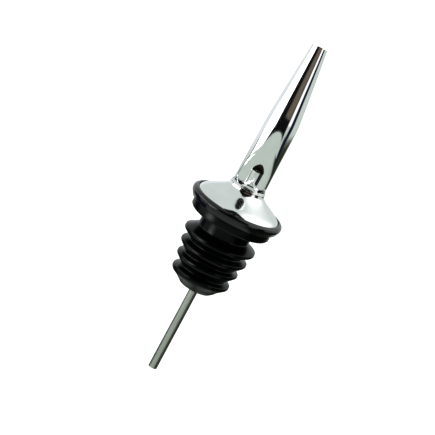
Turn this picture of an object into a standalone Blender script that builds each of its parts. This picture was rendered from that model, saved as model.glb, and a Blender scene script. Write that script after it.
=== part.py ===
"""A free-flow pour spout for a liquor bottle.

A chromed tapered tube with a vent pressed into its front is soldered to a trumpet-shaped flange. A
stem below the flange carries a black collar and a finned stopper, and a breather tube runs from the
vent down into the bottle. The origin is on the stopper's axis, in the flat underside of its head,
which is the plane of the bottle's lip. +Z points to the tip and the vent faces -Y.
"""

from math import cos, pi, radians, sin, tan

import bmesh
import bpy
from mathutils import Matrix, Vector

MM = 0.001

# Spout tube
TIP_Z = 65.0 * MM
TIP_SLANT = radians(15)  # the tip is cut at a slant, longer at the front
CONE_Z = 37.8 * MM
STRAIGHT_TOP_Z = 14.0 * MM  # the tube narrows a little from here up to the cone
SPOUT_BOTTOM_Z = 8.5 * MM
TIP_RADIUS = 2.7 * MM
TIP_ROUND = 0.15 * MM
CONE_RADIUS = 5.4 * MM
SPOUT_RADIUS = 5.6 * MM
SPOUT_WALL = 0.5 * MM
TIP_SIDE_SHIFT = -1.0 * MM  # the cone leans this far to the side at its tip

# The front of the spout, pressed in round the vent: (height, depth below the round surface)
PRESSED_FRONT = (
    (35.5, 0.0),
    (33.9, 0.25),
    (31.4, 0.44),
    (28.8, 0.58),
    (26.4, 0.85),
    (24.8, 1.25),
    (23.2, 1.68),
    (21.6, 2.12),
    (20.0, 2.45),
    (18.0, 2.62),
    (16.0, 2.78),
    (14.6, 2.88),
    (14.2, 2.4),
    (14.0, 1.5),
    (13.9, 0.0),
)
PRESSED_WALL = 0.5 * MM

# Vent: a rib formed round the breather tube, and a slanted mouth above it
VENT_Y = -2.65 * MM
RIB_RADIUS = 2.05 * MM
RIB_LIP_RADIUS = 2.5 * MM
RIB_TOP_Z = 20.3 * MM
RIB_FLARE_Z = 18.4 * MM
RIB_BOTTOM_Z = 13.6 * MM
VENT_BORE_RADIUS = 1.62 * MM
MOUTH_RADIUS = 2.3 * MM
MOUTH_FLOOR_Z = 19.85 * MM  # below the rib's top, so the lip stands up at both sides
MOUTH_WALL = 0.35 * MM
MOUTH_SLANT = radians(45)
MOUTH_FOOT_Z = 18.2 * MM
MOUTH_BACK = 1.4 * MM  # how far the mouth's seat runs back behind the tube's axis
MOUTH_LENGTH = 9.0 * MM
BORE_OVERLAP = 0.1 * MM  # how far the vent's bore is cut above the mouth's floor

# Breather tube
BREATHER_RADIUS = 1.5 * MM
BREATHER_BORE = 1.1 * MM
BREATHER_BOTTOM_Z = -55.0 * MM
BREATHER_TOP_Z = 19.8 * MM

# Stem
STEM_RADIUS = 4.7 * MM
STEM_BORE = 4.3 * MM
STEM_SWELL_RADIUS = 4.98 * MM
STEM_SWELL_BORE = 4.58 * MM
STEM_BOTTOM_Z = -24.7 * MM
STEM_SHOULDER_Z = 7.7 * MM
STEM_TOP_Z = 12.4 * MM
BEAD_Z = -21.9 * MM
BEAD_HEIGHT = 0.4 * MM
BEAD_HALF_WIDTH = 0.7 * MM

# Flange
FLANGE_BORE = 5.75 * MM

# Collar
COLLAR_BORE = 8.8 * MM
COLLAR_BOTTOM_Z = 3.3 * MM
COLLAR_SEAT_Z = 6.1 * MM

# Stopper
STOPPER_BORE = 4.95 * MM
STOPPER_BOTTOM_Z = -24.9 * MM
HEAD_RADIUS = 13.9 * MM
HEAD_TOP_Z = 3.0 * MM
BOSS_RADIUS = 8.5 * MM
BOSS_TOP_Z = 7.4 * MM
NECK_RADIUS = 8.85 * MM
# Fins from the top: rim radius, rim height, rim thickness, root above (r, z), root below (r, z)
FINS = (
    (12.35, -6.8, 1.3, (8.85, -4.3), (9.5, -9.2)),
    (11.60, -11.3, 1.3, (8.60, -9.7), (9.2, -13.7)),
    (10.75, -15.7, 1.3, (8.10, -14.1), (8.4, -18.3)),
    (10.05, -20.5, 1.6, (7.45, -18.9), (7.8, -22.8)),
)

BIG_ROUND = 48  # segments round the flange, collar, stopper, spout and stem
SMALL_ROUND = 24  # segments round the breather tube and the vent
WELD = 1e-6  # vertices closer than this are one


def clear_scene():
    for obj in list(bpy.data.objects):
        bpy.data.objects.remove(obj, do_unlink=True)


def finish(name, colour, metallic, roughness):
    """A plain material: colour, metallic value and roughness."""
    material = bpy.data.materials.new(name)
    material.use_nodes = True
    shader = material.node_tree.nodes["Principled BSDF"]
    shader.inputs["Base Color"].default_value = (*colour, 1.0)
    shader.inputs["Metallic"].default_value = metallic
    shader.inputs["Roughness"].default_value = roughness
    return material


def millimetres(points):
    return [(a * MM, b * MM) for a, b in points]


def arc(centre_r, centre_z, radius, start, end, steps):
    """Points of a circular arc, with angles in degrees from +r towards +z."""
    points = []
    for step in range(steps + 1):
        angle = radians(start + (end - start) * step / steps)
        points.append((centre_r + radius * cos(angle), centre_z + radius * sin(angle)))
    return points


def object_of(name, bm, material=None):
    """Closes a bmesh into an object with outward faces and smooth round sides."""
    bmesh.ops.remove_doubles(bm, verts=bm.verts, dist=WELD)
    bmesh.ops.recalc_face_normals(bm, faces=bm.faces)
    mesh = bpy.data.meshes.new(name)
    bm.to_mesh(mesh)
    bm.free()
    mesh.shade_smooth()
    mesh.set_sharp_from_angle(angle=radians(35))
    obj = bpy.data.objects.new(name, mesh)
    bpy.context.scene.collection.objects.link(obj)
    if material:
        mesh.materials.append(material)
    return obj


def turned(name, outline, segments, material=None):
    """Spins a closed outline of (radius, height) points round Z."""
    bm = bmesh.new()
    corners = [bm.verts.new((r, 0.0, z)) for r, z in outline]
    edges = [bm.edges.new((a, b)) for a, b in zip(corners, corners[1:] + corners[:1])]
    bmesh.ops.spin(
        bm, geom=corners + edges, cent=(0, 0, 0), axis=(0, 0, 1), angle=2 * pi,
        steps=segments, use_merge=True, use_duplicate=False,
    )
    bmesh.ops.remove_doubles(bm, verts=bm.verts, dist=WELD)
    on_axis = [e for e in bm.edges if all(v.co.xy.length < WELD for v in e.verts)]
    bmesh.ops.delete(bm, geom=on_axis, context="EDGES")
    return object_of(name, bm, material)


def prism(name, outline, half_width):
    """Extrudes a closed outline of (y, z) points along X, to both sides of the middle."""
    bm = bmesh.new()
    face = bm.faces.new([bm.verts.new((-half_width, y, z)) for y, z in outline])
    grown = bmesh.ops.extrude_face_region(bm, geom=[face])
    moved = [v for v in grown["geom"] if isinstance(v, bmesh.types.BMVert)]
    bmesh.ops.translate(bm, verts=moved, vec=(2 * half_width, 0, 0))
    return object_of(name, bm)


def as_cutter(obj):
    obj.hide_render = True
    obj.display_type = "WIRE"
    return obj


def combine(obj, tool, operation):
    boolean = obj.modifiers.new(f"{operation.lower()} {tool.name}", "BOOLEAN")
    boolean.operation = operation
    boolean.solver = "EXACT"
    boolean.object = as_cutter(tool)


def lean_cone(obj):
    """Leans the cone sideways with its height, and cuts back its end behind the front."""
    for vertex in obj.data.vertices:
        rise = max(0.0, vertex.co.z - CONE_Z) / (TIP_Z - CONE_Z)
        vertex.co.x += TIP_SIDE_SHIFT * rise
        if vertex.co.z > TIP_Z - 2 * TIP_ROUND:
            vertex.co.z -= tan(TIP_SLANT) * (vertex.co.y + TIP_RADIUS)


def pressed_floor(inset):
    """The pressed front's curve in the YZ plane, moved in along its normals by inset."""
    curve = [Vector((-SPOUT_RADIUS + depth * MM, z * MM)) for z, depth in PRESSED_FRONT]
    moved = []
    for index, point in enumerate(curve):
        before = curve[max(index - 1, 0)]
        after = curve[min(index + 1, len(curve) - 1)]
        along = (after - before).normalized()
        moved.append(point + Vector((-along.y, along.x)) * inset)
    return moved


def press_tool(name, inset):
    """Everything in front of the pressed floor, as a solid wider than the spout."""
    floor = pressed_floor(inset)
    front = -2 * SPOUT_RADIUS
    outline = [(front, floor[0].y)] + [tuple(p) for p in floor] + [(front, floor[-1].y)]
    return prism(name, outline, 1.5 * SPOUT_RADIUS)


def vent_rod(name, radius, bottom, top, lip_radius=None):
    """A round bar on the vent's axis, which may flare to a lip at its top."""
    outline = [(0.0, bottom), (radius, bottom), (lip_radius or radius, top), (0.0, top)]
    if lip_radius:
        outline.insert(2, (radius, RIB_FLARE_Z))
    rod = turned(name, outline, SMALL_ROUND)
    rod.location.y = VENT_Y
    return rod


def mouth_rod(name, radius, floor_z):
    """A bar slanting up and out through the pressed front, cut level at floor_z if it is given."""
    bm = bmesh.new()
    bmesh.ops.create_cone(
        bm, cap_ends=True, segments=SMALL_ROUND, radius1=radius, radius2=radius,
        depth=MOUTH_LENGTH,
    )
    bmesh.ops.translate(bm, verts=bm.verts, vec=(0, 0, MOUTH_LENGTH / 2 - MOUTH_BACK))
    bmesh.ops.rotate(
        bm, verts=bm.verts, cent=(0, 0, 0), matrix=Matrix.Rotation(MOUTH_SLANT, 3, "X"),
    )
    bmesh.ops.translate(bm, verts=bm.verts, vec=(0, VENT_Y, MOUTH_FOOT_Z))
    if floor_z is not None:
        geometry = bm.verts[:] + bm.edges[:] + bm.faces[:]
        cut = bmesh.ops.bisect_plane(
            bm, geom=geometry, plane_co=(0, 0, floor_z), plane_no=(0, 0, 1), clear_inner=True,
        )
        rim = [e for e in cut["geom_cut"] if isinstance(e, bmesh.types.BMEdge)]
        bmesh.ops.contextual_create(bm, geom=rim)
    return object_of(name, bm)


def make_spout_tube(chrome):
    """The tapered tube, with its front pressed in round the vent."""
    outside = [
        (0.0, SPOUT_BOTTOM_Z),
        (SPOUT_RADIUS, SPOUT_BOTTOM_Z),
        (SPOUT_RADIUS, STRAIGHT_TOP_Z),
        (CONE_RADIUS, CONE_Z),
        (TIP_RADIUS, TIP_Z - TIP_ROUND),
        (TIP_RADIUS - TIP_ROUND, TIP_Z),
        (0.0, TIP_Z),
    ]
    over = 2 * MM
    slope = (CONE_RADIUS - TIP_RADIUS) / (TIP_Z - CONE_Z)
    inside = [
        (0.0, SPOUT_BOTTOM_Z - over),
        (SPOUT_RADIUS - SPOUT_WALL, SPOUT_BOTTOM_Z - over),
        (SPOUT_RADIUS - SPOUT_WALL, STRAIGHT_TOP_Z),
        (CONE_RADIUS - SPOUT_WALL, CONE_Z),
        (TIP_RADIUS - SPOUT_WALL - slope * over, TIP_Z + over),
        (0.0, TIP_Z + over),
    ]
    tube = turned("spout_tube", outside, BIG_ROUND, chrome)
    channel = turned("channel_cutter", inside, BIG_ROUND)
    lean_cone(tube)
    lean_cone(channel)
    combine(channel, press_tool("press_inside_cutter", PRESSED_WALL), "DIFFERENCE")
    combine(channel, mouth_rod("mouth_seat_cutter", MOUTH_RADIUS + MOUTH_WALL, None), "DIFFERENCE")
    combine(tube, press_tool("press_outside_cutter", 0.0), "DIFFERENCE")
    rib = vent_rod("rib_former", RIB_RADIUS, RIB_BOTTOM_Z, RIB_TOP_Z, RIB_LIP_RADIUS)
    combine(tube, rib, "UNION")
    bore_bottom = SPOUT_BOTTOM_Z - over
    bore_top = MOUTH_FLOOR_Z + BORE_OVERLAP
    bore = vent_rod("vent_bore_cutter", VENT_BORE_RADIUS, bore_bottom, bore_top)
    combine(tube, bore, "DIFFERENCE")
    combine(tube, mouth_rod("mouth_cutter", MOUTH_RADIUS, MOUTH_FLOOR_Z), "DIFFERENCE")
    combine(tube, channel, "DIFFERENCE")
    return tube


def make_dome_flange(chrome):
    """A spun shell like a trumpet's bell, whose rim presses on the collar."""
    outside = [
        (6.1, 13.1), (6.2, 12.4), (6.45, 11.9), (6.95, 11.4), (7.8, 10.75), (9.0, 10.0),
        (10.5, 9.15), (12.0, 8.3), (13.3, 7.55), (14.2, 6.95), (14.25, 6.65), (14.0, 6.4),
    ]
    inside = [
        (13.4, 6.4), (12.9, 6.85), (11.6, 7.6), (10.1, 8.45), (8.6, 9.3), (7.4, 10.0), (6.5, 10.7),
    ]
    bore = [(FLANGE_BORE, 11.6 * MM), (FLANGE_BORE, 13.1 * MM)]
    return turned("dome_flange", millimetres(outside + inside) + bore, BIG_ROUND, chrome)


def make_base_solder(solder):
    """The fillet of solder where the tube comes out of the flange's neck."""
    fillet = [(5.72, 13.25), (6.12, 13.25), (5.95, 13.55), (5.82, 14.0), (5.72, 14.0)]
    return turned("base_solder", millimetres(fillet), BIG_ROUND, solder)


def make_stem_tube(steel):
    """The liquid's way in: a tube through the stopper, swelled out inside the spout."""
    outside = [
        (STEM_RADIUS, STEM_BOTTOM_Z),
        (STEM_RADIUS, BEAD_Z - BEAD_HALF_WIDTH),
        (STEM_RADIUS + BEAD_HEIGHT, BEAD_Z),
        (STEM_RADIUS, BEAD_Z + BEAD_HALF_WIDTH),
        (STEM_RADIUS, STEM_SHOULDER_Z),
        (STEM_SWELL_RADIUS, STEM_SHOULDER_Z + 0.7 * MM),
        (STEM_SWELL_RADIUS, STEM_TOP_Z),
    ]
    inside = [
        (STEM_SWELL_BORE, STEM_TOP_Z),
        (STEM_SWELL_BORE, STEM_SHOULDER_Z + 0.7 * MM),
        (STEM_BORE, STEM_SHOULDER_Z),
        (STEM_BORE, STEM_BOTTOM_Z),
    ]
    return turned("stem_tube", outside + inside, BIG_ROUND, steel)


def make_breather_tube(steel):
    """The air's way in: a thin tube from the vent's mouth down into the bottle."""
    outline = [
        (BREATHER_RADIUS, BREATHER_BOTTOM_Z),
        (BREATHER_RADIUS, BREATHER_TOP_Z),
        (BREATHER_BORE, BREATHER_TOP_Z),
        (BREATHER_BORE, BREATHER_BOTTOM_Z),
    ]
    tube = turned("breather_tube", outline, SMALL_ROUND, steel)
    tube.location.y = VENT_Y
    return tube


def make_collar_ring(plastic):
    """The hard ring that the flange's rim sits in."""
    outside = [
        (14.45, 6.75), (14.8, 6.75), (15.4, 6.55), (15.8, 6.2), (16.0, 5.6), (15.9, 4.8),
        (15.1, 3.3),
    ]
    inside = [
        (COLLAR_BORE, COLLAR_BOTTOM_Z),
        (COLLAR_BORE, COLLAR_SEAT_Z),
        (14.45 * MM, COLLAR_SEAT_Z),
    ]
    return turned("collar_ring", millimetres(outside) + inside, BIG_ROUND, plastic)


def fin_outline(rim_radius, rim_z, thickness, root_above, root_below):
    half = thickness / 2
    rim = arc(rim_radius - half, rim_z, half, 70, -70, 4)
    return millimetres([root_above] + rim + [root_below])


def make_stopper(rubber):
    """The moulded stopper: a boss inside the flange, a flat head, a neck and four fins."""
    outline = [
        (STOPPER_BORE, BOSS_TOP_Z),
        (BOSS_RADIUS, BOSS_TOP_Z),
        (BOSS_RADIUS, HEAD_TOP_Z),
        (HEAD_RADIUS - 0.3 * MM, HEAD_TOP_Z),
        (HEAD_RADIUS, HEAD_TOP_Z - 0.3 * MM),
        (HEAD_RADIUS, 0.9 * MM),
        (HEAD_RADIUS - 0.15 * MM, 0.3 * MM),
        (HEAD_RADIUS - 0.45 * MM, 0.0),
        (NECK_RADIUS + 0.4 * MM, 0.0),
        (NECK_RADIUS, -0.5 * MM),
    ]
    for fin in FINS:
        outline += fin_outline(*fin)
    outline += millimetres([(6.6, -24.0), (5.7, -24.8)])
    outline += [
        (5.5 * MM, STOPPER_BOTTOM_Z),
        (STOPPER_BORE, STOPPER_BOTTOM_Z),
        (STOPPER_BORE, BEAD_Z - 1.4 * BEAD_HALF_WIDTH),
        (STOPPER_BORE + BEAD_HEIGHT, BEAD_Z),
        (STOPPER_BORE, BEAD_Z + 1.4 * BEAD_HALF_WIDTH),
    ]
    return turned("stopper", outline, BIG_ROUND, rubber)


def make_vent_solder(solder):
    """The crescent of solder that seals the breather tube to the spout's wall, under the mouth."""
    outline = [
        (BREATHER_RADIUS + 0.12 * MM, 14.6 * MM),
        (BREATHER_RADIUS + 0.55 * MM, 14.6 * MM),
        (BREATHER_RADIUS + 0.55 * MM, 15.6 * MM),
        (BREATHER_RADIUS + 0.12 * MM, 15.9 * MM),
    ]
    ring = turned("vent_solder", outline, SMALL_ROUND, solder)
    ring.location.y = VENT_Y
    keep_clear = press_tool("solder_cutter", PRESSED_WALL + 0.12 * MM)
    combine(ring, keep_clear, "DIFFERENCE")
    return ring


def main():
    clear_scene()
    chrome = finish("chrome", (0.78, 0.80, 0.80), 1.0, 0.06)
    steel = finish("steel", (0.56, 0.58, 0.56), 1.0, 0.30)
    solder = finish("solder", (0.72, 0.73, 0.72), 1.0, 0.25)
    plastic = finish("black_plastic", (0.012, 0.013, 0.016), 0.0, 0.22)
    rubber = finish("black_rubber", (0.010, 0.011, 0.013), 0.0, 0.30)
    make_spout_tube(chrome)
    make_dome_flange(chrome)
    make_base_solder(solder)
    make_vent_solder(solder)
    make_stem_tube(steel)
    make_breather_tube(steel)
    make_collar_ring(plastic)
    make_stopper(rubber)


main()
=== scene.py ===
"""The looks of a free-flow liquor pour spout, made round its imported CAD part.

A chromed tapered tube with a pressed-in vent stands on a trumpet-shaped flange. A black collar and a
finned rubber stopper sit below it, and a thin breather tube runs down from the vent. Outlines are in
millimetres in the part's own frame: the stopper's axis is Z and the vent faces -Y.
"""

from math import atan2, ceil, cos, pi, radians, sin, sqrt, tan

import bpy
from mathutils import Matrix, Vector


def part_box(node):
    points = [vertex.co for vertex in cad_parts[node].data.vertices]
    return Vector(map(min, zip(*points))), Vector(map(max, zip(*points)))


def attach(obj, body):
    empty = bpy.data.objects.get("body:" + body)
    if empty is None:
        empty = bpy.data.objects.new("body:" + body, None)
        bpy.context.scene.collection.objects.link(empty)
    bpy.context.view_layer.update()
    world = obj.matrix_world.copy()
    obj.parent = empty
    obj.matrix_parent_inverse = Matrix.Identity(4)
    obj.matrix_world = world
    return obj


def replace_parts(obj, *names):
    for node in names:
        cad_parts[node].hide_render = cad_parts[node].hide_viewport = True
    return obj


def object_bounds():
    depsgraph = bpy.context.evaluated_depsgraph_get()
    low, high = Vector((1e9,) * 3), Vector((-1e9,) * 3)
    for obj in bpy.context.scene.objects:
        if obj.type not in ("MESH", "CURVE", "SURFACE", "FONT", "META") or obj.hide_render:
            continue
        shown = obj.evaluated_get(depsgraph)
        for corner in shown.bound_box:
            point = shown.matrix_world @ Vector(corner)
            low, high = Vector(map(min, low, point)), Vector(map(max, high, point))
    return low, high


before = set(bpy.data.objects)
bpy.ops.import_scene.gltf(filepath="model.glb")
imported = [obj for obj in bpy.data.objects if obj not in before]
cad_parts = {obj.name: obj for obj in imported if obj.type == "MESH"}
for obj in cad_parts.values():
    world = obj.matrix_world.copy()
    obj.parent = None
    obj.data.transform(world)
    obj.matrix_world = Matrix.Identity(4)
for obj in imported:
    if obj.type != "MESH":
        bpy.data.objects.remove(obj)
cad_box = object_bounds()

MM = 0.001
BODY = "root"


def low(node):
    """A node's lowest corner in millimetres."""
    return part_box(node)[0] / MM


def high(node):
    """A node's highest corner in millimetres."""
    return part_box(node)[1] / MM


TIP_Z = high("spout_tube").z
SPOUT_BOTTOM_Z = low("spout_tube").z
SPOUT_RADIUS = high("spout_tube").x
VENT_Y = (low("breather_tube").y + high("breather_tube").y) / 2
BREATHER_RADIUS = high("breather_tube").x
BREATHER_BORE = 1.1
COLLAR_RADIUS = high("collar_ring").x
FINEST_TURN = radians(0.3)  # a corner that turns less than this is left as it is
ARC_STEP = radians(10)  # the most that one step of a fillet turns
NEAR_AXIS = 0.0005  # a turned tool's innermost radius, just off the axis


# ---------------------------------------------------------------- workshop: selecting and shaping


def put_down_everything():
    """Leaves edit mode and deselects all, so that the next operator finds only its own piece."""
    if bpy.context.object and bpy.context.object.mode != "OBJECT":
        bpy.ops.object.mode_set(mode="OBJECT")
    bpy.ops.object.select_all(action="DESELECT")


def take(piece):
    """Selects one piece and makes it active."""
    put_down_everything()
    bpy.context.view_layer.objects.active = piece
    piece.select_set(True)


def open_up(piece, choose="SELECT"):
    """Opens a piece for editing, with all of it selected or deselected."""
    take(piece)
    bpy.ops.object.mode_set(mode="EDIT")
    bpy.ops.mesh.select_all(action=choose)


def close_up():
    """Ends editing."""
    bpy.ops.object.mode_set(mode="OBJECT")


def pick_edges(piece, wanted):
    """Selects the edges whose two ends pass the test, and opens the piece for editing."""
    open_up(piece, "DESELECT")
    bpy.ops.mesh.select_mode(type="EDGE")
    close_up()
    vertices = piece.data.vertices
    for edge in piece.data.edges:
        first, second = (vertices[i].co for i in edge.vertices)
        edge.select = wanted(first, second)
    bpy.ops.object.mode_set(mode="EDIT")


def tidy_skin(piece, weld=1e-6):
    """Merges doubled vertices and turns every face outwards."""
    open_up(piece)
    bpy.ops.mesh.select_mode(type="VERT")
    bpy.ops.mesh.select_all(action="SELECT")
    bpy.ops.mesh.remove_doubles(threshold=weld)
    bpy.ops.mesh.normals_make_consistent(inside=False)
    close_up()


def settle(piece):
    """Moves a piece's place, turn and size into its mesh."""
    take(piece)
    bpy.ops.object.transform_apply(location=True, rotation=True, scale=True)


def apply_all(piece):
    """Applies a piece's modifiers in order."""
    take(piece)
    for modifier in list(piece.modifiers):
        bpy.ops.object.modifier_apply(modifier=modifier.name)


def carve(piece, tool, operation="DIFFERENCE"):
    """Cuts a tool out of a piece, or welds it on, and throws the tool away."""
    boolean = piece.modifiers.new(operation.lower(), "BOOLEAN")
    boolean.operation = operation
    boolean.solver = "EXACT"
    boolean.material_mode = "TRANSFER"
    boolean.object = tool
    apply_all(piece)
    bpy.data.objects.remove(tool, do_unlink=True)


def shade(piece, degrees):
    """Shades a piece smooth, except across edges sharper than this."""
    take(piece)
    bpy.ops.object.shade_smooth_by_angle(angle=radians(degrees))


# ---------------------------------------------------------------- workshop: outlines


def rounded(corners):
    """Corners (radius, height, fillet) of a closed outline, each turned into a fine arc."""
    points = []
    for index, (r, z, fillet) in enumerate(corners):
        here = Vector((r, z))
        back = (Vector(corners[index - 1][:2]) - here).normalized()
        on = (Vector(corners[(index + 1) % len(corners)][:2]) - here).normalized()
        turn = pi - back.angle(on)
        if fillet <= 0 or turn < FINEST_TURN:
            points.append(here)
            continue
        reach = fillet * tan(turn / 2)
        centre = here + (back + on).normalized() * fillet / cos(turn / 2)
        start = here + back * reach - centre
        side = 1 if back.x * on.y - back.y * on.x < 0 else -1
        steps = max(2, ceil(turn / ARC_STEP))
        for step in range(steps + 1):
            points.append(centre + Matrix.Rotation(side * turn * step / steps, 2) @ start)
    return points


def flowing(points, steps):
    """A smooth curve through the given points, with this many steps between each pair."""
    knots = [Vector(p) for p in points]
    ends = [2 * knots[0] - knots[1]] + knots + [2 * knots[-1] - knots[-2]]
    curve = []
    for a, b, c, d in zip(ends, ends[1:], ends[2:], ends[3:]):
        for step in range(steps):
            t = step / steps
            curve.append(
                0.5 * (2 * b + (c - a) * t + (2 * a - 5 * b + 4 * c - d) * t**2
                       + (3 * b - a - 3 * c + d) * t**3)
            )
    return curve + [knots[-1]]


def turn_on_lathe(name, outline, steps, axis_y=0.0):
    """Draws a closed outline by extruding one vertex from corner to corner, and spins it."""
    corners = [Vector((p[0] * MM, axis_y * MM, p[1] * MM)) for p in outline]
    put_down_everything()
    bpy.ops.mesh.primitive_circle_add(vertices=3, radius=MM)
    piece = bpy.context.object
    piece.name = piece.data.name = name
    open_up(piece)
    bpy.ops.mesh.merge(type="CENTER")
    bpy.ops.transform.translate(value=corners[0])
    for here, there in zip(corners, corners[1:] + corners[:1]):
        bpy.ops.mesh.extrude_region_move(TRANSFORM_OT_translate={"value": there - here})
    bpy.ops.mesh.select_all(action="SELECT")
    bpy.ops.mesh.spin(steps=steps, angle=2 * pi, center=(0, axis_y * MM, 0), axis=(0, 0, 1))
    close_up()
    tidy_skin(piece)
    return piece


def ease(value, start, end):
    """0 at start and 1 at end, with no corner at either."""
    t = min(1.0, max(0.0, (value - start) / (end - start)))
    return t * t * (3 - 2 * t)


def soft_max(a, b, blend):
    """The greater of two values, with a fillet where they cross."""
    near = max(blend - abs(a - b), 0.0) / blend
    return max(a, b) + near**3 * blend / 6


def soft_min(a, b, blend):
    """The lesser of two values, with a fillet where they cross."""
    return -soft_max(-a, -b, blend)


def between(table, at):
    """Reads a falling table of (place, value) pairs along straight lines."""
    if at >= table[0][0]:
        return table[0][1]
    for (above, first), (below, second) in zip(table, table[1:]):
        if at >= below:
            return second + (first - second) * (at - below) / (above - below)
    return table[-1][1]


# ---------------------------------------------------------------- workshop: finishes


class Bench:
    """Places and joins the nodes of one material or group."""

    def __init__(self, tree):
        self.tree = tree

    def feed(self, node, feeds):
        """Joins each socket given to the node's input, and sets any other value on the input."""
        for name, value in feeds.items():
            if isinstance(value, bpy.types.NodeSocket):
                self.tree.links.new(value, node.inputs[name])
            else:
                node.inputs[name].default_value = value

    def add(self, kind, feeds=None, **settings):
        """Places a node, sets it up and feeds it."""
        made = self.tree.nodes.new(kind)
        for name, value in settings.items():
            setattr(made, name, value)
        self.feed(made, feeds or {})
        return made

    def math(self, operation, first, second):
        """One sum of two values or sockets."""
        return self.add("ShaderNodeMath", {0: first, 1: second}, operation=operation).outputs[0]

    def spread(self, value, low_in, high_in, low_out, high_out):
        """Maps a value from one range to another, and holds it at the ends."""
        feeds = {"Value": value, "From Min": low_in, "From Max": high_in,
                 "To Min": low_out, "To Max": high_out}
        return self.add("ShaderNodeMapRange", feeds).outputs[0]

    def blended(self, share, first, second):
        """Mixes two colours by a share."""
        made = self.add("ShaderNodeMix", {0: share, 6: first, 7: second}, data_type="RGBA")
        return made.outputs[2]


def colour(r, g, b):
    """A colour as a socket takes it, with its alpha."""
    return (r, g, b, 1.0)


def new_group(name, inputs, outputs):
    """A node group with its sockets made: the group, its bench, and its two end nodes."""
    group = bpy.data.node_groups.new(name, "ShaderNodeTree")
    for label, kind, default in inputs:
        made = group.interface.new_socket(label, in_out="INPUT", socket_type=kind)
        if default is not None:
            made.default_value = default
    for label, kind in outputs:
        group.interface.new_socket(label, in_out="OUTPUT", socket_type=kind)
    bench = Bench(group)
    return group, bench, bench.add("NodeGroupInput"), bench.add("NodeGroupOutput")


def make_scratch_group():
    """Fine scratches: long thin marks that run along the stretched way of their coordinates."""
    group, bench, given, out = new_group(
        "fine scratches",
        [("Vector", "NodeSocketVector", None), ("Density", "NodeSocketFloat", 0.5),
         ("Scale", "NodeSocketFloat", 1.0)],
        [("Mask", "NodeSocketFloat")],
    )
    marks = bench.add("ShaderNodeTexNoise", {
        "Vector": given.outputs["Vector"], "Scale": given.outputs["Scale"], "Detail": 3.0,
        "Roughness": 0.6,
    })
    ridge = bench.math("ABSOLUTE", bench.math("SUBTRACT", marks.outputs["Fac"], 0.5), 0.0)
    thin = bench.spread(ridge, 0.0, 0.02, 1.0, 0.0)
    coarser = bench.math("MULTIPLY", given.outputs["Scale"], 0.37)
    patches = bench.add("ShaderNodeTexNoise", {
        "Vector": given.outputs["Vector"], "Scale": coarser, "Detail": 1.0,
    })
    allowed = bench.spread(patches.outputs["Fac"], 0.45, 0.65, 0.0, 1.0)
    mask = bench.math("MULTIPLY", bench.math("MULTIPLY", thin, allowed), given.outputs["Density"])
    bench.feed(out, {"Mask": mask})
    return group


def make_film_group():
    """A thin film of handling: soft cloudy patches with finer speckle inside."""
    group, bench, given, out = new_group(
        "handling film",
        [("Vector", "NodeSocketVector", None), ("Patch scale", "NodeSocketFloat", 0.25),
         ("Speckle scale", "NodeSocketFloat", 4.0)],
        [("Film", "NodeSocketFloat"), ("Speckle", "NodeSocketFloat")],
    )
    patch = bench.add("ShaderNodeTexNoise", {
        "Vector": given.outputs["Vector"], "Scale": given.outputs["Patch scale"], "Detail": 4.0,
        "Roughness": 0.55, "Distortion": 0.4,
    })
    film = bench.spread(patch.outputs["Fac"], 0.4, 0.7, 0.0, 1.0)
    speckle = bench.add("ShaderNodeTexNoise", {
        "Vector": given.outputs["Vector"], "Scale": given.outputs["Speckle scale"], "Detail": 2.0,
    })
    bench.feed(out, {"Film": film, "Speckle": speckle.outputs["Fac"]})
    return group


def make_dust_group():
    """Sparse specks of dust."""
    group, bench, given, out = new_group(
        "dust specks",
        [("Vector", "NodeSocketVector", None), ("Scale", "NodeSocketFloat", 2.5),
         ("Size", "NodeSocketFloat", 0.12)],
        [("Mask", "NodeSocketFloat")],
    )
    cells = bench.add("ShaderNodeTexVoronoi", {
        "Vector": given.outputs["Vector"], "Scale": given.outputs["Scale"],
    })
    draw = bench.add("ShaderNodeSeparateColor", {"Color": cells.outputs["Color"]})
    chosen = bench.math("GREATER_THAN", draw.outputs["Red"], 0.72)  # about one cell in four
    near = bench.math("LESS_THAN", cells.outputs["Distance"], given.outputs["Size"])
    bench.feed(out, {"Mask": bench.math("MULTIPLY", chosen, near)})
    return group


SCRATCHES = make_scratch_group()
FILM = make_film_group()
DUST = make_dust_group()


def new_finish(name):
    """A new material, its bench, its Principled shader, and the object's coordinates."""
    material = bpy.data.materials.new(name)
    material.use_nodes = True
    bench = Bench(material.node_tree)
    shader = material.node_tree.nodes["Principled BSDF"]
    where = bench.add("ShaderNodeTexCoord").outputs["Object"]
    return material, bench, shader, where


def in_millimetres(bench, where, stretch=(1.0, 1.0, 1.0), turn=(0.0, 0.0, 0.0)):
    """Coordinates in millimetres, turned and stretched if asked."""
    feeds = {"Vector": where, "Rotation": turn, "Scale": tuple(s / MM for s in stretch)}
    return bench.add("ShaderNodeMapping", feeds).outputs[0]


def placed(bench, group, feeds):
    """Places a group and returns its outputs."""
    return bench.add("ShaderNodeGroup", feeds, node_tree=group).outputs


def bumped(bench, height, depth_mm, before=None):
    """A normal with this relief on it, over another relief if there is one."""
    feeds = {"Height": height, "Distance": depth_mm * MM, "Strength": 1.0}
    if before is not None:
        feeds["Normal"] = before
    return bench.add("ShaderNodeBump", feeds).outputs["Normal"]


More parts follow.
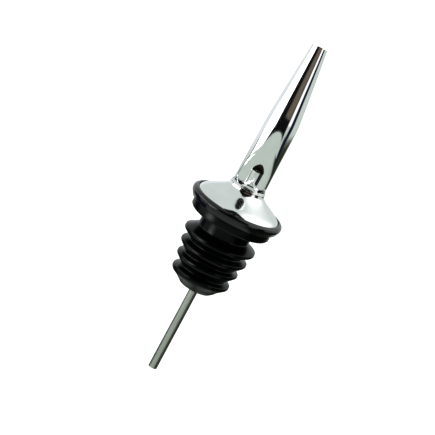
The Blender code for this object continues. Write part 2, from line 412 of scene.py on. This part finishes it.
def chrome_finish(name, tint, film_tint, smooth, hand_wave):
    """Bright plating over a hand-polished surface, with faint wiping marks and water film."""
    material, bench, shader, where = new_finish(name)
    place = in_millimetres(bench, where)
    film = placed(bench, FILM, {"Vector": place, "Patch scale": 0.16, "Speckle scale": 3.0})
    wiping = in_millimetres(bench, where, (3.0, 3.0, 0.35), (0.0, 0.25, 0.0))
    wiped = placed(bench, SCRATCHES, {"Vector": wiping, "Density": 0.5, "Scale": 1.3})["Mask"]
    base = bench.blended(film["Film"], tint, film_tint)
    hazy = bench.spread(film["Film"], 0.0, 1.0, smooth, smooth + 0.035)
    rough = bench.math("ADD", hazy, bench.math("MULTIPLY", wiped, 0.10))
    slow = bench.add("ShaderNodeTexNoise", {"Vector": place, "Scale": 0.22, "Detail": 1.0})
    normal = bumped(bench, slow.outputs["Fac"], hand_wave)
    normal = bumped(bench, wiped, -0.0006, normal)
    bench.feed(shader, {
        "Base Color": base, "Metallic": 1.0, "Roughness": rough, "Normal": normal})
    return material


def solder_finish():
    """Bright soft solder, lumpy where it ran and dull where flux was wiped off."""
    material, bench, shader, where = new_finish("bright_solder")
    place = in_millimetres(bench, where)
    film = placed(bench, FILM, {"Vector": place, "Patch scale": 0.7, "Speckle scale": 6.0})
    base = bench.blended(film["Film"], colour(0.80, 0.81, 0.80), colour(0.62, 0.62, 0.58))
    rough = bench.spread(film["Film"], 0.0, 1.0, 0.14, 0.38)
    lumps = bench.add("ShaderNodeTexNoise", {"Vector": place, "Scale": 1.1, "Detail": 2.0})
    normal = bumped(bench, lumps.outputs["Fac"], 0.10)
    normal = bumped(bench, film["Speckle"], 0.01, normal)
    bench.feed(shader, {
        "Base Color": base, "Metallic": 1.0, "Roughness": rough, "Normal": normal})
    return material


def drawn_steel_finish(name, tint, deep):
    """Steel tube as it leaves the drawing die: fine lines along its length, satin between them."""
    material, bench, shader, where = new_finish(name)
    place = in_millimetres(bench, where)
    along = in_millimetres(bench, where, (1.0, 1.0, 0.02))
    lines = bench.add("ShaderNodeTexNoise", {
        "Vector": along, "Scale": 9.0, "Detail": 4.0, "Roughness": 0.7})
    film = placed(bench, FILM, {"Vector": place, "Patch scale": 0.12, "Speckle scale": 5.0})
    nicks = placed(bench, SCRATCHES, {"Vector": place, "Density": 0.6, "Scale": 1.1})["Mask"]
    base = bench.blended(lines.outputs["Fac"], deep, tint)
    stained = bench.blended(
        bench.math("MULTIPLY", film["Film"], 0.35), base, colour(0.36, 0.35, 0.27))
    satin = bench.spread(lines.outputs["Fac"], 0.3, 0.7, 0.24, 0.36)
    rough = bench.math("ADD", satin, bench.math("MULTIPLY", nicks, 0.12))
    normal = bumped(bench, lines.outputs["Fac"], 0.012)
    normal = bumped(bench, nicks, -0.004, normal)
    bench.feed(shader, {
        "Base Color": stained, "Metallic": 1.0, "Roughness": rough, "Normal": normal})
    return material


def moulded_finish(name, tint, worn, smooth, rough, grain, gloss, dust_size):
    """Black moulded plastic or rubber: fine mould grain, dull patches, and a little dust."""
    material, bench, shader, where = new_finish(name)
    place = in_millimetres(bench, where)
    film = placed(bench, FILM, {"Vector": place, "Patch scale": 0.18, "Speckle scale": 7.0})
    dust = placed(bench, DUST, {"Vector": place, "Scale": 1.3, "Size": dust_size})["Mask"]
    rubbed = placed(bench, SCRATCHES, {"Vector": place, "Density": 0.5, "Scale": 0.8})["Mask"]
    base = bench.blended(bench.math("MULTIPLY", film["Film"], 0.6), tint, worn)
    dusty = bench.blended(bench.math("MULTIPLY", dust, 0.25), base, colour(0.05, 0.05, 0.05))
    moulded = bench.spread(film["Film"], 0.0, 1.0, smooth, rough)
    handled = bench.math("ADD", moulded, bench.math("MULTIPLY", rubbed, 0.12))
    normal = bumped(bench, film["Speckle"], grain)
    normal = bumped(bench, rubbed, -0.003, normal)
    bench.feed(shader, {
        "Base Color": dusty, "Specular IOR Level": gloss, "Roughness": handled,
        "Normal": normal})
    return material


def vent_painted_shade_finish():
    """Bare metal inside the vent and the channel, out of the polisher's reach; its near-black colour
    is painted shade for these hollows.
    """
    material, bench, shader, where = new_finish("vent_inside_painted_shade")
    place = in_millimetres(bench, where)
    film = placed(bench, FILM, {"Vector": place, "Patch scale": 0.8, "Speckle scale": 5.0})
    # near-black base colour with cloudy patches: painted shade of the hollows
    base = bench.blended(film["Film"], colour(0.030, 0.024, 0.014), colour(0.060, 0.046, 0.026))
    rough = bench.spread(film["Speckle"], 0.3, 0.7, 0.45, 0.65)
    normal = bumped(bench, film["Speckle"], 0.01)
    bench.feed(shader, {
        "Base Color": base, "Metallic": 0.6, "Roughness": rough, "Normal": normal})
    return material


CHROME = chrome_finish(
    "chrome_plate", colour(0.90, 0.91, 0.91), colour(0.84, 0.86, 0.86),
    smooth=0.045, hand_wave=0.012)
DOME_CHROME = chrome_finish(
    "chrome_plate_dome", colour(0.90, 0.92, 0.91), colour(0.84, 0.86, 0.85),
    smooth=0.07, hand_wave=0.02)
SOLDER = solder_finish()
STEEL = drawn_steel_finish(
    "drawn_steel", tint=colour(0.60, 0.63, 0.58), deep=colour(0.42, 0.44, 0.40))
COLLAR_BLACK = moulded_finish(
    "black_collar", colour(0.002, 0.002, 0.003), colour(0.006, 0.006, 0.008),
    smooth=0.10, rough=0.18, grain=0.002, gloss=0.40, dust_size=0.05)
RUBBER = moulded_finish(
    "black_rubber", colour(0.0008, 0.0008, 0.0012), colour(0.002, 0.002, 0.003),
    smooth=0.18, rough=0.30, grain=0.004, gloss=0.11, dust_size=0.06)
# the dark finish for the vent and channel hollows is painted shade
VENT_PAINTED_SHADE = vent_painted_shade_finish()


def finish_with(piece, material):
    """Gives a piece one material all over."""
    piece.data.materials.clear()
    piece.data.materials.append(material)


# ---------------------------------------------------------------- the spout tube

CONE_Z = 37.8
CONE_RADIUS = 5.4
TIP_RADIUS = 2.7
STRAIGHT_FROM_Z = 14.0
TIP_SIDE_SHIFT = -1.0
TIP_SLANT = radians(15)  # the tip is cut at a slant, longer at the front
SLANT_HEIGHT = 12  # the rings lean over to the slant along this height
TIP_ROUND = 0.15  # rounding of the tip's outer edge
TUBE_WALL = 0.5
CONE_BLEND = 0.5  # fillet between straight tube and cone
PRESS_BLEND = 0.9  # fillet along the edges of the pressed front
PRESS_BLEND_FOOT = 0.5  # the same, below PRESS_FOOT_Z
PRESS_FOOT_Z = 15
PRESS_BOW = 0.02  # how much the pressed floor bows across
PRESS_POLISH = 0.9  # height over which polishing evens the pressed depth out, up and down
POLISH_STEPS = 4
RIB_BLEND = 0.3

# How deep the front is pressed in below the round surface, by height
PRESS_DEPTH = (
    (38.0, -0.42), (35.5, -0.04), (33.9, 0.16), (31.4, 0.38), (28.8, 0.60), (26.4, 0.90),
    (24.8, 1.25), (23.2, 1.68), (21.6, 2.12), (20.0, 2.45), (18.0, 2.62), (16.0, 2.78),
    (14.6, 2.88), (10.0, 3.1),
)
# Ring heights of the tube: from, to, rings
RING_SPANS = (
    (SPOUT_BOTTOM_Z, 13.0, 4), (13.0, 15.6, 26), (15.6, 19.4, 16), (19.4, 24.5, 36),
    (24.5, 38.0, 46), (38.0, 50.0, 16), (50.0, TIP_Z - 0.3, 20), (TIP_Z - 0.3, TIP_Z, 6),
)
TUBE_SIDES = 256
FRONT_CROWDING = 0.35  # how much closer together the tube's sides are at the front
# Lower end of the pressed front: its lowest height, and how it climbs to the rib and to the edge
TONGUE_LOW_Z = 13.75
TONGUE_CLIMB = 0.55
TONGUE_LOW_X = 3.3
TONGUE_HALF_WIDTH = 1.3
TONGUE_RAMP = (-0.15, 0.75)  # from and to where the pressing deepens, above the tongue's end
RIB_RADIUS = 2.05
RIB_FOOT = 0.25  # height over which the rib's foot rises from the pressed front
RIB_BOTTOM_Z = 13.6
RIB_TOP_Z = 20.3
RIB_LIP_RADIUS = 2.5
VENT_BORE = 1.62
# The mouth is cut by a bar that slants up and out from the vent, and its floor is level
MOUTH_RADIUS = 2.3
MOUTH_WALL = 0.35  # metal left between the mouth and the channel
MOUTH_FLOOR_Z = 19.85
MOUTH_FOOT_Z = 18.2  # where the bar crosses the vent's axis
MOUTH_BACK = 1.4  # how far the bar runs back from there
MOUTH_LENGTH = 9.0
MOUTH_SLANT = radians(45)
BORE_OVERLAP = 0.1  # how far the vent's bore is cut above the mouth's floor
CUT_PAST = 2  # how far a cutting tool runs past the tube's ends
CHANNEL_TOP_Z = 60  # up to here the channel has a ring for each of the tube's
CHANNEL_LAST_Z = 62.0  # its last ring below the tip


def smoothed_depth(z):
    """The pressed depth, averaged over a little height so that the polish runs through."""
    steps = range(-POLISH_STEPS, POLISH_STEPS + 1)
    depths = [between(PRESS_DEPTH, z + PRESS_POLISH * k / POLISH_STEPS) for k in steps]
    return sum(depths) / len(depths)


def ring_heights():
    """The heights of all the tube's rings, closer together where its shape changes fast."""
    heights = [RING_SPANS[0][0]]
    for start, end, count in RING_SPANS:
        heights += [start + (end - start) * (k + 1) / count for k in range(count)]
    return heights


def tube_radius(z):
    """The round tube's outer radius at a height."""
    straight = SPOUT_RADIUS + (CONE_RADIUS - SPOUT_RADIUS) * max(0.0, z - STRAIGHT_FROM_Z) / (
        CONE_Z - STRAIGHT_FROM_Z)
    cone = CONE_RADIUS + (TIP_RADIUS - CONE_RADIUS) * (z - CONE_Z) / (TIP_Z - CONE_Z)
    return soft_min(straight, cone, CONE_BLEND)


def tongue_end(x):
    """How high the pressed front's lower end stands: lowest halfway between rib and edge."""
    return TONGUE_LOW_Z + TONGUE_CLIMB * ((abs(x) - TONGUE_LOW_X) / TONGUE_HALF_WIDTH) ** 2


def tube_point(angle, z, inset, with_rib):
    """A point of the tube's surface, or of one set in by a wall's thickness."""
    radius = tube_radius(z) - inset
    edge = TIP_Z - z
    if inset == 0 and edge < TIP_ROUND:
        radius -= TIP_ROUND - sqrt(max(0.0, TIP_ROUND**2 - (TIP_ROUND - edge) ** 2))
    x, y = radius * sin(angle), -radius * cos(angle)
    if z < CONE_Z and y < 0:
        end = tongue_end(x)
        depth = smoothed_depth(z) * ease(z, end + TONGUE_RAMP[0], end + TONGUE_RAMP[1])
        floor = -SPOUT_RADIUS + depth + inset + PRESS_BOW * x * x
        y = soft_max(y, floor, PRESS_BLEND if z > PRESS_FOOT_Z else PRESS_BLEND_FOOT)
        if with_rib and abs(x) < RIB_RADIUS and RIB_BOTTOM_Z < z < RIB_TOP_Z:
            crown = VENT_Y - sqrt(RIB_RADIUS**2 - x * x)
            shown = ease(z, RIB_BOTTOM_Z, RIB_BOTTOM_Z + RIB_FOOT)
            y = y + (soft_min(y, crown, RIB_BLEND) - y) * shown
    rise = max(0.0, z - CONE_Z) / (TIP_Z - CONE_Z)
    cut_back = tan(TIP_SLANT) * (y + TIP_RADIUS) * ease(z, TIP_Z - SLANT_HEIGHT, TIP_Z)
    return Vector((x + TIP_SIDE_SHIFT * rise, y, z - cut_back)) * MM


def roll_tube(name, inset, with_rib, heights):
    """Starts from a plain cylinder, cuts it into rings, and works the front into shape."""
    bottom, top = heights[0], heights[-1]
    put_down_everything()
    bpy.ops.mesh.primitive_cylinder_add(
        vertices=TUBE_SIDES, radius=SPOUT_RADIUS * MM, depth=(top - bottom) * MM,
        location=(0, 0, (top + bottom) / 2 * MM))
    tube = bpy.context.object
    tube.name = tube.data.name = name
    settle(tube)
    upright = (top - bottom) * MM / 2
    pick_edges(tube, lambda a, b: abs(a.z - b.z) > upright)
    bpy.ops.mesh.subdivide(number_cuts=len(heights) - 2)
    close_up()
    for vertex in tube.data.vertices:
        place = (vertex.co.z / MM - bottom) / (top - bottom)
        z = heights[round(place * (len(heights) - 1))]
        angle = atan2(vertex.co.x, -vertex.co.y)
        angle -= FRONT_CROWDING * sin(angle)
        vertex.co = tube_point(angle, z, inset, with_rib)
    return tube


def mouth_tool(name, radius, floor_z):
    """A slanting bar, cut level at floor_z if it is given."""
    put_down_everything()
    bpy.ops.mesh.primitive_cylinder_add(
        vertices=72, radius=radius * MM, depth=MOUTH_LENGTH * MM,
        location=(0, 0, (MOUTH_LENGTH / 2 - MOUTH_BACK) * MM))
    bar = bpy.context.object
    bar.name = name
    settle(bar)
    bar.rotation_euler = (MOUTH_SLANT, 0, 0)
    bar.location = (0, VENT_Y * MM, MOUTH_FOOT_Z * MM)
    settle(bar)
    if floor_z is not None:
        open_up(bar)
        bpy.ops.mesh.bisect(
            plane_co=(0, 0, floor_z * MM), plane_no=(0, 0, 1), use_fill=True, clear_inner=True)
        close_up()
    return bar


def make_spout():
    """The plated tube, with its rib, its lipped mouth and vent, and its channel cut out."""
    heights = ring_heights()
    cut_from = SPOUT_BOTTOM_Z - CUT_PAST
    tube = roll_tube("spout_shell", 0.0, True, heights)
    finish_with(tube, CHROME)
    lip = turn_on_lathe("lip", rounded([
        (0.6, 18.0, 0), (RIB_RADIUS - 0.05, 18.0, 0), (RIB_RADIUS + 0.02, 18.7, 0.6),
        (RIB_LIP_RADIUS, RIB_TOP_Z - 0.15, 0.3), (RIB_LIP_RADIUS, RIB_TOP_Z, 0.07),
        (0.6, RIB_TOP_Z, 0),
    ]), steps=96, axis_y=VENT_Y)
    finish_with(lip, CHROME)
    carve(tube, lip, "UNION")
    bore = turn_on_lathe("bore", [
        (NEAR_AXIS, cut_from), (VENT_BORE, cut_from),
        (VENT_BORE, MOUTH_FLOOR_Z + BORE_OVERLAP), (NEAR_AXIS, MOUTH_FLOOR_Z + BORE_OVERLAP),
    ], steps=72, axis_y=VENT_Y)
    # The bore and the mouth leave the dark finish on their cut faces: painted shade inside the vent.
    finish_with(bore, VENT_PAINTED_SHADE)
    carve(tube, bore)
    mouth = mouth_tool("mouth", MOUTH_RADIUS, MOUTH_FLOOR_Z)
    finish_with(mouth, VENT_PAINTED_SHADE)
    carve(tube, mouth)
    rings = [z for z in heights[1:] if z < CHANNEL_TOP_Z]
    rings = [cut_from] + rings + [CHANNEL_LAST_Z, TIP_Z + CUT_PAST]
    channel = roll_tube("channel", TUBE_WALL, False, rings)
    # The channel and its seat leave the dark finish all through the tube's inside: painted shade of
    # the hollow.
    finish_with(channel, VENT_PAINTED_SHADE)
    seat = mouth_tool("seat", MOUTH_RADIUS + MOUTH_WALL, None)
    finish_with(seat, VENT_PAINTED_SHADE)
    carve(channel, seat)
    carve(tube, channel)
    tidy_skin(tube, weld=1e-7)
    shade(tube, degrees=38)
    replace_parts(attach(tube, BODY), "spout_tube")


# ---------------------------------------------------------------- the other pieces


def make_flange():
    """A spun trumpet's bell, thin, with its rim rolled over onto the collar."""
    outside = flowing([
        (6.1, 13.1), (6.2, 12.4), (6.45, 11.9), (6.95, 11.4), (7.8, 10.75), (9.0, 10.0),
        (10.5, 9.14), (12.0, 8.30), (12.9, 7.75), (13.5, 7.30), (13.95, 6.88), (14.2, 6.56),
    ], steps=5)
    inside = flowing([
        (14.0, 6.4), (13.4, 6.42), (12.9, 6.85), (11.6, 7.6), (10.1, 8.45), (8.6, 9.3),
        (7.4, 10.0), (6.5, 10.7), (5.75, 11.6),
    ], steps=3)
    outline = outside + inside + [Vector((5.75, 13.1))]
    flange = turn_on_lathe("flange_bell", outline, steps=160)
    finish_with(flange, DOME_CHROME)
    shade(flange, degrees=40)
    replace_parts(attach(flange, BODY), "dome_flange")


SOLDER_CREEP = 0.07  # how unevenly the solder ran up the tube
SOLDER_CREEP_Z = 13.4  # above here


def make_base_solder():
    """The run of solder round the foot of the tube, a little uneven."""
    bead = turn_on_lathe("base_solder_bead", rounded([
        (5.68, 13.18, 0), (6.16, 13.18, 0.05), (6.02, 13.5, 0.25), (5.82, 13.98, 0.1),
        (5.68, 14.02, 0),
    ]), steps=144)
    for vertex in bead.data.vertices:
        angle = atan2(vertex.co.y, vertex.co.x)
        if vertex.co.z > SOLDER_CREEP_Z * MM:
            wave = sin(3 * angle + 0.6) + 0.6 * sin(7 * angle + 2.0)
            vertex.co.z += SOLDER_CREEP * MM * wave
    finish_with(bead, SOLDER)
    shade(bead, degrees=60)
    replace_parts(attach(bead, BODY), "base_solder")


def make_stem():
    """The liquor's way in, with its bead near the lower end."""
    bottom, top = low("stem_tube").z, high("stem_tube").z
    outline = rounded([
        (4.7, bottom, 0.08), (4.7, -22.6, 0.6), (5.1, -21.9, 0.5), (4.7, -21.2, 0.6),
        (4.7, 7.7, 0.8), (4.98, 8.4, 0.8), (4.98, top, 0.08), (4.58, top, 0.08),
        (4.58, 8.4, 0.8), (4.3, 7.7, 0.8), (4.3, bottom, 0.08),
    ])
    stem = turn_on_lathe("stem_inlet", outline, steps=112)
    finish_with(stem, STEEL)
    shade(stem, degrees=40)
    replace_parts(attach(stem, BODY), "stem_tube")


def make_breather():
    """The air tube, sawn square and lightly deburred."""
    bottom, top = low("breather_tube").z, high("breather_tube").z
    outline = rounded([
        (BREATHER_RADIUS, bottom, 0.10), (BREATHER_RADIUS, top, 0.06),
        (BREATHER_BORE, top, 0.06), (BREATHER_BORE, bottom, 0.10),
    ])
    tube = turn_on_lathe("breather", outline, steps=72, axis_y=VENT_Y)
    finish_with(tube, STEEL)
    shade(tube, degrees=40)
    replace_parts(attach(tube, BODY), "breather_tube")


def make_collar():
    """The hard ring that the flange's rim sits in."""
    bottom = low("collar_ring").z
    outline = rounded([
        (14.5, 6.7, 0.08), (14.78, 6.75, 0.1), (15.3, 6.6, 0.25), (15.78, 6.2, 0.3),
        (COLLAR_RADIUS, 5.6, 0.5), (15.9, 4.8, 0.5), (15.1, bottom, 0.15), (8.8, bottom, 0),
        (8.8, 6.1, 0), (14.5, 6.1, 0.05),
    ])
    ring = turn_on_lathe("collar", outline, steps=160)
    finish_with(ring, COLLAR_BLACK)
    shade(ring, degrees=40)
    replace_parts(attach(ring, BODY), "collar_ring")


# Fins from the top: rim radius, rim height, rim thickness, root above (r, z), root below (r, z)
FINS = (
    (12.35, -6.8, 1.3, (8.85, -4.3), (9.5, -9.2)),
    (11.60, -11.3, 1.3, (8.60, -9.7), (9.2, -13.7)),
    (10.75, -15.7, 1.3, (8.10, -14.1), (8.4, -18.3)),
    (10.05, -20.5, 1.6, (7.45, -18.9), (7.8, -22.8)),
)
FIN_TILT = tan(radians(2.6))  # how far the fins have set over, as a slope


def make_stopper():
    """The moulded stopper. Its fins have set a little askew from the bottle."""
    corners = [
        (4.95, 7.4, 0), (8.5, 7.4, 0), (8.5, 3.0, 0), (13.9, 3.0, 0.25), (13.9, 0.6, 0.3),
        (13.45, 0.0, 0.35), (9.25, 0.0, 0.1), (8.85, -0.6, 0.35),
    ]
    for radius, z, thick, above, below in FINS:
        half = thick / 2
        corners += [
            (*above, 0.45), (radius - 0.1, z + half * 0.9, 0.28), (radius, z - half * 0.3, 0.3),
            (radius - 0.35, z - half, 0.25), (*below, 0.5),
        ]
    corners += [
        (6.6, -24.0, 0.4), (5.6, -24.85, 0.15), (4.95, -24.9, 0), (4.95, -22.9, 0.4),
        (5.35, -21.9, 0.3), (4.95, -20.9, 0.4),
    ]
    stopper = turn_on_lathe("stopper_rubber", rounded(corners), steps=160)
    for vertex in stopper.data.vertices:
        x, y, z = vertex.co / MM
        reach = sqrt(x * x + y * y)
        loose = ease(-z, 2.0, 5.0) * ease(z, -24.4, -22.5) * ease(reach, 6.5, 8.5)
        angle = atan2(y, x)
        ripple = 0.10 * sin(2 * angle + z) + 0.05 * sin(5 * angle - 2 * z)
        vertex.co.z += loose * (FIN_TILT * x + ripple) * MM
    finish_with(stopper, RUBBER)
    shade(stopper, degrees=50)
    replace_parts(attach(stopper, BODY), "stopper")


def dress_vent_solder():
    """The hidden solder keeps its CAD shape and gets the solder's finish."""
    finish_with(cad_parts["vent_solder"], SOLDER)


# ---------------------------------------------------------------- studio

CAMERA_AZIMUTH = radians(-5)
CAMERA_ELEVATION = radians(15)
LEAN = radians(28.2)  # the camera is rolled by this, so the object leans in its view
VIEW_WIDTH = 0.1405  # of the view where the object stands, in metres
LENS = 200.0
SENSOR = 36.0
CLIP_START = 0.01
AIM = (-0.0041, -0.00061)  # the point looked at, across the object and along it, in metres
FLOOR_SIZE = 6.0
FLOOR_GAP = 0.0002  # between the lowest metal and the floor


def towards(azimuth, elevation):
    """A unit direction: azimuth 0 is the vent's side (-Y) and 90 degrees is +X."""
    return Vector((
        sin(azimuth) * cos(elevation), -cos(azimuth) * cos(elevation), sin(elevation)))


def place_camera():
    """A long lens, so far off that the object fills its view as it should."""
    data = bpy.data.cameras.new("camera")
    data.lens = LENS
    data.sensor_width = SENSOR
    data.clip_start = CLIP_START
    camera = bpy.data.objects.new("camera", data)
    bpy.context.scene.collection.objects.link(camera)
    back = towards(CAMERA_AZIMUTH, CAMERA_ELEVATION)
    across = Vector((cos(CAMERA_AZIMUTH), sin(CAMERA_AZIMUTH), 0))
    along = back.cross(across)
    right = across * cos(LEAN) + along * sin(LEAN)
    up = along * cos(LEAN) - across * sin(LEAN)
    target = across * AIM[0] + along * AIM[1]
    distance = VIEW_WIDTH * LENS / SENSOR
    turn = Matrix((right, up, back)).transposed().to_4x4()
    camera.matrix_world = Matrix.Translation(target + back * distance) @ turn
    bpy.context.scene.camera = camera


def card_cover(name, tint, strength, feather):
    """A glowing or dark cover that fades out towards the card's edges."""
    material = bpy.data.materials.new(name)
    material.use_nodes = True
    tree = material.node_tree
    tree.nodes.remove(tree.nodes["Principled BSDF"])
    bench = Bench(tree)
    where = bench.add("ShaderNodeSeparateXYZ", {
        "Vector": bench.add("ShaderNodeTexCoord").outputs["UV"]})
    shown = 1.0
    for axis, share in zip("XY", feather):
        to_far_edge = bench.math("SUBTRACT", 1.0, where.outputs[axis])
        to_edge = bench.math("MINIMUM", where.outputs[axis], to_far_edge)
        faded = bench.add(
            "ShaderNodeMapRange", {"Value": to_edge, "From Max": share},
            interpolation_type="SMOOTHSTEP")
        shown = bench.math("MULTIPLY", shown, faded.outputs[0])
    glow = bench.add("ShaderNodeEmission", {"Color": colour(*tint), "Strength": strength})
    clear = bench.add("ShaderNodeBsdfTransparent")
    cover = bench.add("ShaderNodeMixShader", {
        "Fac": shown, 1: clear.outputs[0], 2: glow.outputs[0]})
    bench.feed(tree.nodes["Material Output"], {"Surface": cover.outputs[0]})
    return material


def hang_card(name, azimuths, elevations, tint, strength, feather, away, height):
    """A curved card round the object, between two azimuths from the camera and two elevations,
    in degrees. It shows in reflections only."""
    put_down_everything()
    bpy.ops.mesh.primitive_grid_add(x_subdivisions=24, y_subdivisions=16, size=2.0)
    card = bpy.context.object
    card.name = name
    centre = Vector((0, 0, height))
    for vertex in card.data.vertices:
        across, upward = (vertex.co.x + 1) / 2, (vertex.co.y + 1) / 2
        azimuth = CAMERA_AZIMUTH + radians(azimuths[0] + (azimuths[1] - azimuths[0]) * across)
        elevation = radians(elevations[0] + (elevations[1] - elevations[0]) * upward)
        vertex.co = centre + towards(azimuth, elevation) * away
    card.data.materials.append(card_cover(name, tint, strength, feather))
    card.visible_camera = False
    card.visible_diffuse = False
    card.visible_shadow = False
    card.visible_transmission = False
    card.visible_volume_scatter = False


def lay_floor():
    """A pale floor at the breather tube's lower end, evenly lit from all round."""
    put_down_everything()
    bpy.ops.mesh.primitive_plane_add(
        size=FLOOR_SIZE, location=(0, 0, cad_box[0].z - FLOOR_GAP))
    floor = bpy.context.object
    floor.name = "floor"
    material = bpy.data.materials.new("floor_pale")
    material.use_nodes = True
    tree = material.node_tree
    bench = Bench(tree)
    shader = tree.nodes["Principled BSDF"]
    bench.feed(shader, {
        "Base Color": colour(0.8, 0.8, 0.8), "Roughness": 0.9, "Specular IOR Level": 0.0})
    seen = bench.add("ShaderNodeLightPath").outputs["Is Camera Ray"]
    glow = bench.add("ShaderNodeEmission", {
        "Color": bench.blended(seen, colour(0.47, 0.53, 0.47), colour(0.9, 0.9, 0.9)),
        "Strength": 1.0})
    both = bench.add("ShaderNodeAddShader", {0: shader.outputs[0], 1: glow.outputs[0]})
    plain = bench.add("ShaderNodeMixShader", {
        "Fac": seen, 1: glow.outputs[0], 2: both.outputs[0]})
    bench.feed(tree.nodes["Material Output"], {"Surface": plain.outputs[0]})
    floor.data.materials.append(material)
    floor.visible_glossy = False


BLACK, OLIVE, NAVY = (0.004, 0.004, 0.005), (0.016, 0.018, 0.010), (0.006, 0.008, 0.020)
WHITE, GREY, BROWN = (1.0, 1.0, 1.0), (0.82, 0.85, 0.88), (0.14, 0.11, 0.085)

# A card: name, azimuths from the camera and elevations in degrees, tint, strength, shares of its
# width and height that its edges fade over, distance, and its centre's height. A nearer card covers
# a farther one, and its distance also sets which heights of the object show it.
CARDS = (
    # what the upright tube shows from its left edge to its right
    ("left_wall", (-100, -28), (-9, 12), WHITE, 3.0, (0.05, 0.05), 0.36, 0.02),
    ("left_wall_foot", (-100, -37), (-13.2, 2), WHITE, 3.0, (0.05, 0.04), 0.16, 0.02),
    ("far_left_wall", (-182, -92), (-13, 10), GREY, 1.0, (0.05, 0.10), 0.35, 0.02),
    ("left_gap", (-107, -93), (-60, -6), NAVY, 4.0, (0.3, 0.06), 0.15, 0.02),
    ("low_left_gap", (-136, -88), (-60, -13), NAVY, 4.0, (0.3, 0.05), 0.152, 0.02),
    ("dark_front", (-41, 46), (-13.7, 86), BLACK, 1.0, (0.07, 0.015), 0.328, 0.02),
    ("warm_front", (-10, 44), (0.5, 16), BROWN, 1.0, (0.3, 0.1), 0.32, 0.02),
    ("right_edge_light", (36, 72), (-3, 18), WHITE, 1.25, (0.10, 0.05), 0.40, 0.02),
    ("dark_right", (60, 90), (-60, 16), NAVY, 1.2, (0.15, 0.04), 0.30, 0.02),
    ("dark_table_front", (26, 80), (-62, -18), OLIVE, 1.8, (0.42, 0.05), 0.312, 0.02),
    ("dark_table_right", (50, 150), (-62, -8), OLIVE, 1.6, (0.08, 0.04), 0.31, 0.02),
    # what the flange and the rubber show
    ("right_softbox", (18, 160), (8, 88), WHITE, 1.6, (0.32, 0.3), 0.45, 0.02),
    ("lamp", (-66, -34), (-15.5, -8), WHITE, 14.0, (0.45, 0.3), 0.08, 0.0),
    # low and close, seen only by the breather tube
    ("low_left", (-178, -66), (-46, -24), OLIVE, 3.0, (0.15, 0.1), 0.15, -0.02),
    ("low_right", (52, 178), (-46, -24), OLIVE, 3.0, (0.15, 0.1), 0.15, -0.02),
)


def light_studio():
    """White walls, one lamp and dark gaps between them, as on a small product table."""
    world = bpy.data.worlds.new("studio")
    bpy.context.scene.world = world
    world.use_nodes = True
    bench = Bench(world.node_tree)
    seen = bench.add("ShaderNodeLightPath").outputs["Is Camera Ray"]
    upward = bench.add("ShaderNodeSeparateXYZ", {
        "Vector": bench.add("ShaderNodeTexCoord").outputs["Generated"]}).outputs["Z"]
    room = bench.blended(
        bench.spread(upward, -0.3, 0.1, 0.0, 1.0), colour(0.54, 0.61, 0.55),
        colour(0.66, 0.71, 0.69))
    tint = bench.blended(seen, room, colour(1.0, 1.0, 1.0))
    bench.feed(world.node_tree.nodes["Background"], {"Color": tint})
    for card in CARDS:
        hang_card(*card)


def main():
    make_spout()
    make_flange()
    make_base_solder()
    make_stem()
    make_breather()
    make_collar()
    make_stopper()
    dress_vent_solder()
    lay_floor()
    light_studio()
    place_camera()
    bpy.context.scene.view_settings.view_transform = "Standard"


main()
